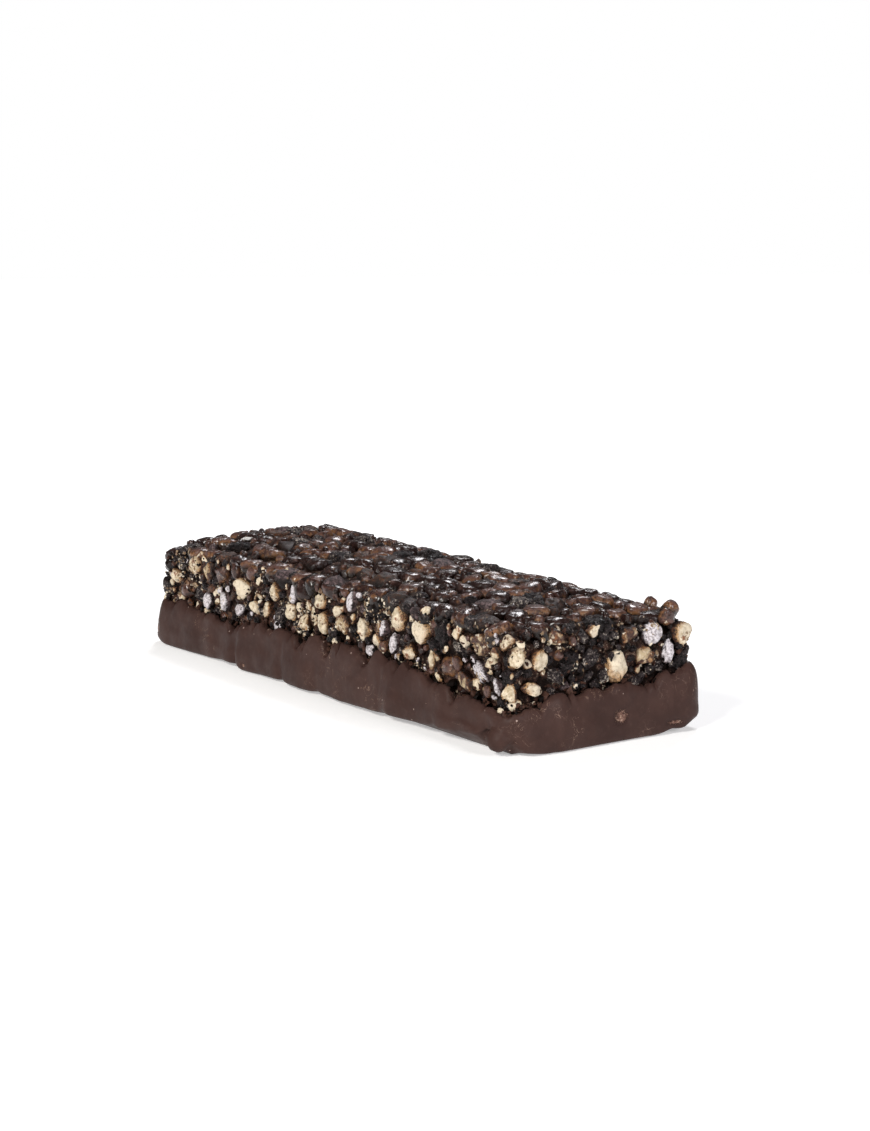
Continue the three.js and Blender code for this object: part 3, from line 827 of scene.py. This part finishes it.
def lay_edge_crumbs(draw, count):
    """Crumbs that are caught where the coat's upper edge meets the block."""
    crumbs = []
    for _ in range(count):
        station = draw(0, OUTLINE_RUN)
        half = draw(0.25, 0.8)
        point, normal = outline_at(station)
        place = point + normal * draw(-1.0, -0.35)
        centre = (*place, coat_rim_at(station) + draw(-0.5, 0.5))
        facing = (*normal, draw(0, 1))
        spin = draw(0, math.pi)
        halves = (half, half * draw(0.6, 0.95), half * draw(0.5, 0.9))
        crumbs.append(placed(centre, facing, spin, halves))
    return crumbs


def make_crumb_mesh(name, crumbs, draw):
    """Angular splinters of few faces, each with corners of its own."""
    unit, faces = sphere_template(1)
    jaggedness = 0.42
    parts = []
    for crumb in crumbs:
        corners = np.array([[draw(-1, 1), draw(-1, 1), draw(-1, 1)] for _ in unit])
        local = (unit + jaggedness * corners) * np.array(crumb["halves"])
        points = np.clip(local @ grain_axes(crumb) + np.array(crumb["centre"]), *CEREAL_BOX)
        parts.append((points, {"tone": np.full(len(unit), draw(0, 1))}))
    mesh = joined_pieces(name, parts, faces)
    mesh.shade_flat()
    return mesh


# ---- shader building blocks ----
def linear(red, green, blue):
    """A colour from 0 to 255, as seen, made the linear colour that shaders take."""
    seen = [part / 255 for part in (red, green, blue)]
    return (*[((part + 0.055) / 1.055) ** 2.4 if part > 0.04 else part / 12.92 for part in seen], 1.0)


def give(tree, node, inputs):
    """Each input given a value, or joined to an output."""
    for name, value in inputs.items():
        if isinstance(value, bpy.types.NodeSocket):
            tree.links.new(value, node.inputs[name])
        else:
            node.inputs[name].default_value = value


def add_node(tree, kind, inputs=None, **settings):
    node = tree.nodes.new(kind)
    for name, value in settings.items():
        setattr(node, name, value)
    give(tree, node, inputs or {})
    return node


def calculate(tree, operation, first, second=0.0):
    return add_node(tree, "ShaderNodeMath", {0: first, 1: second}, operation=operation).outputs[0]


def times(tree, first, second):
    return calculate(tree, "MULTIPLY", first, second)


def plus(tree, first, second):
    return calculate(tree, "ADD", first, second)


def blend_colours(tree, share, first, second):
    inputs = {"Factor": share, 6: first, 7: second}
    return add_node(tree, "ShaderNodeMix", inputs, data_type="RGBA").outputs[2]


def tinted(tree, colour, mask, share, tint):
    """The colour with that share of the tint over it where the mask is 1."""
    return blend_colours(tree, times(tree, mask, share), colour, tint)


def ramp(tree, value, low, high, to_low=0.0, to_high=1.0):
    """The value eased from low..high to to_low..to_high."""
    inputs = {"Value": value, "From Min": low, "From Max": high, "To Min": to_low, "To Max": to_high}
    return add_node(tree, "ShaderNodeMapRange", inputs, interpolation_type="SMOOTHSTEP").outputs[0]


def object_place(tree):
    return add_node(tree, "ShaderNodeTexCoord").outputs["Object"]


def attribute(tree, name):
    return add_node(tree, "ShaderNodeAttribute", attribute_name=name).outputs["Fac"]


def per_metre(size_mm):
    """The scale of a texture whose patches have that size."""
    return 1 / (size_mm * MM)


def clouds(tree, scale, detail, roughness=0.5, distortion=0.0):
    inputs = {
        "Vector": object_place(tree), "Scale": scale, "Detail": detail, "Roughness": roughness,
        "Distortion": distortion,
    }
    return add_node(tree, "ShaderNodeTexNoise", inputs).outputs["Fac"]


def noise_value(tree, size_mm, detail=3.0, roughness=0.55, distortion=0.0):
    """Cloudy noise, 0 to 1, with patches of that size."""
    return clouds(tree, per_metre(size_mm), detail, roughness, distortion)


def cells(tree, scale):
    inputs = {"Vector": object_place(tree), "Scale": scale}
    return add_node(tree, "ShaderNodeTexVoronoi", inputs).outputs


BLACK = (0.0, 0.0, 0.0, 1.0)
WHITE = (1.0, 1.0, 1.0, 1.0)


def new_group(name, inputs, outputs):
    group = bpy.data.node_groups.new(name, "ShaderNodeTree")
    kinds = {float: "NodeSocketFloat", tuple: "NodeSocketColor"}
    for label, value in inputs.items():
        socket = group.interface.new_socket(name=label, in_out="INPUT", socket_type=kinds[type(value)])
        socket.default_value = value
    for label, kind in outputs.items():
        group.interface.new_socket(name=label, in_out="OUTPUT", socket_type=kinds[kind])
    return group, add_node(group, "NodeGroupInput").outputs, add_node(group, "NodeGroupOutput")


def use_group(tree, group, fineness, inputs):
    return add_node(tree, "ShaderNodeGroup", {"Fineness": fineness, **inputs}, node_tree=group).outputs


def make_mottle_group():
    """Two colours in cloudy patches of a given fineness, leaning to the second as Lean rises."""
    inputs = {"Fineness": 500.0, "Lean": 0.0, "Dark": BLACK, "Light": WHITE}
    group, given, made = new_group("mottle", inputs, {"Color": tuple})
    cloud = clouds(group, given["Fineness"], 5.0, 0.62)
    share = ramp(group, plus(group, cloud, given["Lean"]), 0.36, 0.64)
    give(group, made, {"Color": blend_colours(group, share, given["Dark"], given["Light"])})
    return group


def make_pore_group():
    """Small round pores of a given fineness. Pores is 1 inside them, Height is their depth upside down."""
    inputs = {"Fineness": 2000.0, "Amount": 0.5}
    group, given, made = new_group("pores", inputs, {"Pores": float, "Height": float})
    bored = ramp(group, cells(group, given["Fineness"])["Distance"], 0.16, 0.42, 1.0, 0.0)
    patches = clouds(group, times(group, given["Fineness"], 0.35), 2.0)
    holes = times(group, bored, ramp(group, plus(group, patches, given["Amount"]), 0.85, 1.1))
    give(group, made, {"Pores": holes, "Height": calculate(group, "SUBTRACT", 1.0, holes)})
    return group


def make_speck_group():
    """Tiny separate specks: one in some of the cells, as many as Share says."""
    inputs = {"Fineness": 1200.0, "Share": 0.1, "Width": 0.2}
    group, given, made = new_group("specks", inputs, {"Specks": float})
    cell = cells(group, given["Fineness"])
    chance = add_node(group, "ShaderNodeSeparateColor", {"Color": cell["Color"]}).outputs[0]
    chosen = calculate(group, "LESS_THAN", chance, given["Share"])
    dot = calculate(group, "LESS_THAN", cell["Distance"], given["Width"])
    give(group, made, {"Specks": times(group, chosen, dot)})
    return group


def make_scuff_group():
    """Fine curved hairlines in patches, as from rubbing against a wrapper."""
    patch_fineness = 120.0
    line_core, line_edge = 0.002, 0.009
    group, given, made = new_group("scuffs", {"Fineness": 250.0, "Amount": 0.5}, {"Lines": float})
    cloud = clouds(group, given["Fineness"], 3.0, distortion=1.5)
    away = calculate(group, "ABSOLUTE", calculate(group, "SUBTRACT", cloud, 0.5))
    reached = plus(group, clouds(group, patch_fineness, 3.0), given["Amount"])
    lines = times(group, ramp(group, away, line_core, line_edge, 1.0, 0.0), ramp(group, reached, 1.0, 1.14))
    give(group, made, {"Lines": lines})
    return group


def make_crumble_group():
    """Broken crisps: their Body colour, going to the Deep one as painted shade where their relief is
    lowest, with tan and pale flecks in clusters. Height is their relief.
    """
    inputs = {"Fineness": 2600.0, "Lean": 0.0, "Deep": BLACK, "Body": BLACK, "Fleck": WHITE}
    group, given, made = new_group("crumble", inputs, {"Color": tuple, "Height": float})
    grit = clouds(group, given["Fineness"], 6.0, 0.72)
    clusters = times(group, clouds(group, times(group, given["Fineness"], 0.22), 3.0), 0.35)
    level = plus(group, grit, plus(group, clusters, given["Lean"]))
    # The Deep colour lies where the relief is lowest: painted shade in its hollows.
    colour = blend_colours(group, ramp(group, level, 0.56, 0.7), given["Deep"], given["Body"])
    colour = blend_colours(group, ramp(group, level, 0.75, 0.84), colour, given["Fleck"])
    give(group, made, {"Color": colour, "Height": level})
    return group


MOTTLE = make_mottle_group()
PORES = make_pore_group()
SPECKS = make_speck_group()
SCUFFS = make_scuff_group()
CRUMBLE = make_crumble_group()


def mottle(tree, size_mm, dark, light, lean=0.0):
    inputs = {"Lean": lean, "Dark": dark, "Light": light}
    return use_group(tree, MOTTLE, per_metre(size_mm), inputs)["Color"]


def pores(tree, size_mm, amount):
    return use_group(tree, PORES, per_metre(size_mm), {"Amount": amount})


def specks(tree, size_mm, share, width):
    return use_group(tree, SPECKS, per_metre(size_mm), {"Share": share, "Width": width})["Specks"]


def crumble(tree, size_mm, deep, body, fleck, lean):
    inputs = {"Lean": lean, "Deep": deep, "Body": body, "Fleck": fleck}
    return use_group(tree, CRUMBLE, per_metre(size_mm), inputs)


def tone_lean(tree, neutral, amount):
    """How far a grain's own tone takes it from the neutral one."""
    return times(tree, calculate(tree, "SUBTRACT", attribute(tree, "tone"), neutral), amount)


def shaded_by_depth(tree, colour, starts_mm, ends_mm):
    """The colour going to near black as the depth behind the grain's front grows: painted shade in the
    crevices and hollows.
    """
    deepest_share = 0.95
    deep = ramp(tree, attribute(tree, "depth"), starts_mm, ends_mm, 0.0, deepest_share)
    return blend_colours(tree, deep, colour, linear(17, 8, 5))


def worn_reach(tree, fine_share, broad_share, tone_share):
    """The reach with its rim made ragged by fine and by broad noise, and lying elsewhere on each grain."""
    fine = times(tree, noise_value(tree, 0.35, detail=5.0, roughness=0.72), fine_share)
    broad = times(tree, noise_value(tree, 1.3, detail=2.0), broad_share)
    ragged = plus(tree, fine, plus(tree, broad, times(tree, attribute(tree, "tone"), tone_share)))
    middle = (fine_share + broad_share + tone_share) / 2
    return plus(tree, attribute(tree, "reach"), calculate(tree, "SUBTRACT", ragged, middle))


def soiled(tree, colour, reach, grit, more_at_rim, starts, ends, dirt):
    """The colour with dark crumbs stuck to it where the grit is strongest, and more of them at the rim."""
    near_rim = ramp(tree, reach, 0.2, 1.0, 0.0, more_at_rim)
    return tinted(tree, colour, ramp(tree, plus(tree, grit, near_rim), starts, ends), 0.9, dirt)


# ---- the finishes: each paints a colour, a roughness and the height of its bumps ----
def paint_chocolate(tree):
    """Satin with a faint bloom, fine scuffs, dots of dust and a few flaky chips."""
    broad = mottle(tree, 8.0, linear(59, 41, 37), linear(68, 48, 43))
    bloom = noise_value(tree, 1.1, detail=6.0, roughness=0.7)
    colour = blend_colours(tree, ramp(tree, bloom, 0.5, 0.8, 0.0, 0.35), broad, linear(88, 66, 60))
    lines = use_group(tree, SCUFFS, 420.0, {"Amount": 0.48})["Lines"]
    colour = tinted(tree, colour, lines, 0.6, linear(158, 130, 114))
    colour = tinted(tree, colour, specks(tree, 1.8, 0.35, 0.075), 0.7, linear(190, 166, 156))
    ragged = noise_value(tree, 0.7, detail=6.0, roughness=0.75, distortion=2.0)
    chipped = plus(tree, times(tree, attribute(tree, "chips"), 0.6), ragged)
    inside = ramp(tree, attribute(tree, "chips"), 0.02, 0.1)
    chips = times(tree, ramp(tree, chipped, 0.78, 0.84), inside)
    # The chips' crumble paints its lowest relief darker as shade.
    flaky = crumble(tree, 0.3, linear(70, 48, 42), linear(128, 96, 84), linear(208, 176, 156), 0.02)
    colour = tinted(tree, colour, chips, 0.9, flaky["Color"])
    roughness = ramp(tree, noise_value(tree, 3.0, detail=5.0), 0.3, 0.7, 0.42, 0.56)
    fine = times(tree, noise_value(tree, 0.25, detail=4.0), 0.1)
    rough_chips = times(tree, times(tree, flaky["Height"], chips), 2.0)
    height = plus(tree, noise_value(tree, 3.2, detail=2.0), plus(tree, fine, rough_chips))
    return colour, roughness, height


def paint_syrup_crumb(tree):
    # Painted shade: the lowest relief of the crumble takes the near black, and the hollows between the
    # core's lumps go darker by their depth.
    bits = crumble(tree, 0.36, linear(14, 7, 5), linear(76, 52, 44), linear(206, 190, 164), -0.01)
    roughness = ramp(tree, noise_value(tree, 0.8, detail=4.0), 0.4, 0.6, 0.3, 0.75)
    return shaded_by_depth(tree, bits["Color"], 0.6, 1.15), roughness, bits["Height"]


def paint_glazed_skin(tree):
    """Toasted crisps under syrup: dark on the crown, amber where light comes through their flanks."""
    lean = tone_lean(tree, 0.55, 0.35)
    crown = mottle(tree, 1.2, linear(40, 24, 21), linear(92, 65, 58), lean)
    amber = mottle(tree, 0.7, linear(72, 43, 29), linear(138, 98, 66), lean)
    flank = ramp(tree, attribute(tree, "depth"), 0.1, 0.9)
    cloud = plus(tree, noise_value(tree, 1.0), times(tree, attribute(tree, "tone"), 0.3))
    lit_through = times(tree, flank, ramp(tree, cloud, 0.62, 0.8))
    colour = blend_colours(tree, lit_through, crown, amber)
    streaks = noise_value(tree, 0.8, detail=5.0, roughness=0.65, distortion=1.2)
    colour = blend_colours(tree, ramp(tree, streaks, 0.5, 0.64, 0.0, 0.75), colour, linear(26, 14, 11))
    colour = tinted(tree, colour, specks(tree, 0.5, 0.06, 0.22), 0.5, linear(200, 172, 148))
    roughness = ramp(tree, noise_value(tree, 0.9, detail=4.0), 0.38, 0.62, 0.12, 0.32)
    height = plus(tree, streaks, times(tree, noise_value(tree, 0.25), 0.4))
    # Painted shade: the skin goes near black deep between the grains.
    return shaded_by_depth(tree, colour, 0.6, 1.6), roughness, height


def paint_cream_puff(tree):
    """Cut puffs: a pale porous inside that browns towards its rim, crumbs, and a dark skin behind."""
    lean = tone_lean(tree, 0.5, -0.3)
    inside = mottle(tree, 0.6, linear(186, 166, 134), linear(231, 216, 192), lean)
    holes = pores(tree, 0.3, 0.42)
    # Painted shade: the pores are darkened inside.
    inside = tinted(tree, inside, holes["Pores"], 0.6, linear(136, 106, 78))
    reach = worn_reach(tree, 0.8, 0.7, 0.55)
    ochre = mottle(tree, 0.5, linear(124, 80, 48), linear(192, 150, 104), lean)
    skin = mottle(tree, 0.9, linear(34, 19, 14), linear(104, 66, 44), lean)
    glaze = mottle(tree, 0.6, linear(62, 34, 24), linear(150, 100, 64), lean)
    clouded = noise_value(tree, 2.0, distortion=0.6)
    run_over = plus(tree, clouded, times(tree, attribute(tree, "tone"), 0.22))
    glazed = ramp(tree, run_over, 0.66, 0.73)
    behind = ramp(tree, reach, 0.85, 1.2)
    colour = blend_colours(tree, ramp(tree, reach, 0.25, 0.88), inside, ochre)
    colour = blend_colours(tree, glazed, colour, glaze)
    colour = blend_colours(tree, behind, colour, skin)
    grit = noise_value(tree, 0.3, detail=5.0, roughness=0.75)
    colour = soiled(tree, colour, reach, grit, 0.17, 0.64, 0.69, linear(32, 20, 16))
    roughness = ramp(tree, calculate(tree, "MAXIMUM", behind, glazed), 0.0, 1.0, 0.85, 0.32)
    # Painted shade: the puff goes near black deep between the grains.
    return shaded_by_depth(tree, colour, 0.9, 1.9), roughness, plus(tree, holes["Height"], times(tree, grit, 2.0))


def paint_rice_puff(tree):
    """Cut rice: a pale lilac inside with deep pores, crumbs, and a darker skin behind."""
    inside = mottle(tree, 0.4, linear(146, 136, 138), linear(228, 221, 224), 0.05)
    holes = pores(tree, 0.3, 0.5)
    # Painted shade: the pores are darkened inside.
    inside = tinted(tree, inside, holes["Pores"], 0.75, linear(84, 72, 76))
    skin = mottle(tree, 0.8, linear(38, 25, 25), linear(124, 104, 104))
    reach = worn_reach(tree, 0.7, 0.6, 0.4)
    colour = blend_colours(tree, ramp(tree, reach, 0.6, 1.1), inside, skin)
    grit = noise_value(tree, 0.26, detail=5.0, roughness=0.75)
    colour = soiled(tree, colour, reach, grit, 0.14, 0.64, 0.68, linear(30, 22, 24))
    # Painted shade: the rice goes near black deep between the grains.
    return shaded_by_depth(tree, colour, 0.8, 1.7), 0.65, plus(tree, holes["Height"], times(tree, grit, 1.5))


def paint_cocoa_crisp(tree):
    lean = tone_lean(tree, 0.6, 0.14)
    # Painted shade: the lowest relief of the crumble is near black.
    bits = crumble(tree, 0.34, linear(10, 6, 6), linear(51, 42, 43), linear(190, 178, 166), lean)
    hollow = pores(tree, 0.7, 0.6)
    # Painted shade: the hollow pores are near black inside.
    colour = blend_colours(tree, hollow["Pores"], bits["Color"], linear(10, 5, 4))
    roughness = ramp(tree, noise_value(tree, 0.6, detail=4.0), 0.4, 0.65, 0.2, 0.6)
    height = plus(tree, hollow["Height"], times(tree, bits["Height"], 2.0))
    # Painted shade: the crisp goes near black deep between the grains.
    return shaded_by_depth(tree, colour, 0.7, 1.8), roughness, height


def paint_dark_crumb(tree):
    colour = mottle(tree, 0.4, linear(15, 8, 6), linear(72, 50, 42), tone_lean(tree, 0.6, 0.7))
    return colour, 0.4, noise_value(tree, 0.2, detail=5.0)


def paint_pale_crumb(tree):
    colour = mottle(tree, 0.4, linear(128, 106, 84), linear(222, 210, 190), tone_lean(tree, 0.6, 0.7))
    return colour, 0.75, noise_value(tree, 0.2, detail=5.0)


def make_finish(name, paint, relief_mm, specular, **more):
    """A material: what paint makes of it, a bump that deep, and constants that are the same all over."""
    material = bpy.data.materials.new(name)
    material.use_nodes = True
    tree = material.node_tree
    colour, roughness, height = paint(tree)
    bump = add_node(tree, "ShaderNodeBump", {"Height": height, "Distance": relief_mm * MM, "Strength": 1.0})
    give(tree, tree.nodes["Principled BSDF"], {
        "Base Color": colour, "Roughness": roughness, "Normal": bump.outputs["Normal"],
        "Specular IOR Level": specular, **more,
    })
    return material

# ---- the bar ----
def lay_grains():
    """All grains: those of the top and of the sides that the solids have too, and the small ones."""
    draw_places = make_draws(SOLID_SEED)
    top = lay_top_grains(draw_places)
    side = lay_side_grains(draw_places)
    draw_small = make_draws(SMALL_SEED)
    small = lay_small_side_grains(draw_small, side)
    small += lay_small_top_grains(draw_small, top)
    largest = side[:len(LARGEST_ON_SIDE) + len(LARGEST_ON_END)]

    # Most cocoa crisps of the top are under syrup, and the middle of the +X end is mostly cocoa.
    syrup_chance, cocoa_chance = 0.65, 0.7
    end_from_x, half_middle = 50, 13
    draw_kinds = make_draws(KIND_SEED)
    for grain in [*top, *side[len(largest):], *small]:
        chance = draw_kinds(0, 1)
        in_middle = abs(grain["centre"].y) < half_middle and grain["centre"].x > end_from_x
        if not grain["side"] and grain["kind"] == "cocoa" and chance < syrup_chance:
            grain.update(kind="glazed", tones=(0, 0.15))
        elif grain["side"] and in_middle and chance < cocoa_chance:
            grain["kind"] = "cocoa"

    # The largest puffs are all broken open, the toasted ones dark and the others pale.
    for grain in largest:
        grain["cut_chance"] = 1.0
        if grain["kind"] == "toasted":
            grain.update(kind="cream", tones=(0.75, 1.0))
        elif grain["kind"] == "cream":
            grain["tones"] = (0.0, 0.5)
    return [("top", top + lay_lumps(), 4), ("side", side, 4), ("small", small, 3)]


FINISHES = {
    "glazed": make_finish(
        "glazed_skin", paint_glazed_skin, 0.11, 0.22, **{"Coat Weight": 0.3, "Coat Roughness": 0.07}
    ),
    "cream": make_finish("cream_puff", paint_cream_puff, 0.1, 0.4),
    "rice": make_finish("rice_puff", paint_rice_puff, 0.12, 0.3),
    "cocoa": make_finish("cocoa_crisp", paint_cocoa_crisp, 0.2, 0.24),
}
syrup_and_crumb = make_finish("syrup_and_crumb", paint_syrup_crumb, 0.22, 0.09)
dark_crumb = make_finish("dark_crumb", paint_dark_crumb, 0.06, 0.07)
pale_crumb = make_finish("pale_crumb", paint_pale_crumb, 0.06, 0.07)
dark_chocolate = make_finish("dark_chocolate", paint_chocolate, 0.12, 0.11)

draw_shapes = make_draws(SHAPE_SEED)
shown_meshes = [make_core_mesh()]
add_piece("syrup_crumb", shown_meshes[0], syrup_and_crumb, "cereal_layer")
grain_heaps = lay_grains()
for kind, finish in FINISHES.items():
    for where, grains, subdivisions in grain_heaps:
        name = f"{where}_{kind}_grains"
        alike = [grain for grain in grains if grain["kind"] == kind]
        shown_meshes.append(make_grain_mesh(name, alike, subdivisions, draw_shapes))
        add_piece(name, shown_meshes[-1], finish, "cereal_layer")

add_piece("chocolate_shell", make_coat_mesh(), dark_chocolate, "chocolate_coat")

grain_surface = surface_tree(shown_meshes)
draw_crumbs = make_draws(CRUMB_SEED)
for name, throws, at_edge, finish in (
    ("dark_crumbs", DARK_THROWS, DARK_AT_EDGE, dark_crumb),
    ("pale_crumbs", PALE_THROWS, 0, pale_crumb),
):
    crumbs = [crumb for throw in throws for crumb in throw_crumbs(grain_surface, draw_crumbs, *throw)]
    crumbs += lay_edge_crumbs(draw_crumbs, at_edge)
    add_piece(name, make_crumb_mesh(name, crumbs, draw_crumbs), finish, "cereal_layer")


# ---- the studio ----
def make_floor():
    """Plain white, which glows where it lies far from the bar, as the backdrop does."""
    half_size = 6.0
    white = bpy.data.materials.new("floor_white")
    white.use_nodes = True
    tree = white.node_tree
    away = add_node(tree, "ShaderNodeVectorMath", {0: object_place(tree)}, operation="LENGTH")
    give(tree, tree.nodes["Principled BSDF"], {
        "Base Color": (0.86, 0.86, 0.86, 1), "Roughness": 0.9, "Emission Color": WHITE,
        "Emission Strength": ramp(tree, away.outputs["Value"], 0.05, 0.45, 0.4, 1.0),
    })
    bm = bmesh.new()
    bmesh.ops.create_grid(bm, x_segments=1, y_segments=1, size=half_size)
    mesh = bpy.data.meshes.new("floor")
    bm.to_mesh(mesh)
    bm.free()
    mesh.materials.append(white)
    add_object("floor", mesh)


def point_along(thing, way):
    thing.rotation_euler = Vector(way).to_track_quat("-Z", "Y").to_euler()


# Round lamps, aimed at the bar: [name, place, watts, tint].
SOFTBOXES = [
    ["key", (0.3, -0.75, 0.55), 7.3, (1.0, 0.98, 0.94)],
    ["fill", (0.85, 0.1, 0.4), 3.3, (0.96, 0.96, 1.0)],
    ["top", (-0.4, 0.4, 0.7), 4, (0.98, 0.97, 1.0)],
]
SOFTBOX_SIZE = 0.25
BAR_MIDDLE = Vector((0, 0, 0.01))


def add_softbox(name, place, watts, tint):
    light = bpy.data.lights.new(name, "AREA")
    light.shape = "DISK"
    light.size = SOFTBOX_SIZE
    light.energy = watts
    light.color = tint
    lamp = add_object(name, light)
    lamp.location = place
    point_along(lamp, BAR_MIDDLE - lamp.location)


def make_world(seen, lighting):
    """White as the camera sees it, and dimmer as a light."""
    world = bpy.data.worlds.new("studio")
    world.use_nodes = True
    tree = world.node_tree
    is_seen = add_node(tree, "ShaderNodeLightPath").outputs["Is Camera Ray"]
    strength = ramp(tree, is_seen, 0.0, 1.0, lighting, seen)
    give(tree, tree.nodes["Background"], {"Color": WHITE, "Strength": strength})
    bpy.context.scene.world = world


def add_camera():
    """The photograph's view: its place and aim, and the focal length in pixels of a frame 1131 high."""
    place = Vector((278.16, -180.98, 69.0)) * MM
    forward = Vector((-0.81951, 0.55347, -0.14860))
    focal_px = 2045.08
    frame_height_px = 1131
    data = bpy.data.cameras.new("camera")
    data.sensor_width = 36.0
    data.lens = focal_px * data.sensor_width / frame_height_px
    data.clip_start = 0.01
    camera = add_object("camera", data)
    camera.location = place
    point_along(camera, forward)
    bpy.context.scene.camera = camera


make_floor()
for softbox in SOFTBOXES:
    add_softbox(*softbox)
make_world(seen=1.0, lighting=0.1)
add_camera()
bpy.context.scene.view_settings.view_transform = "Standard"
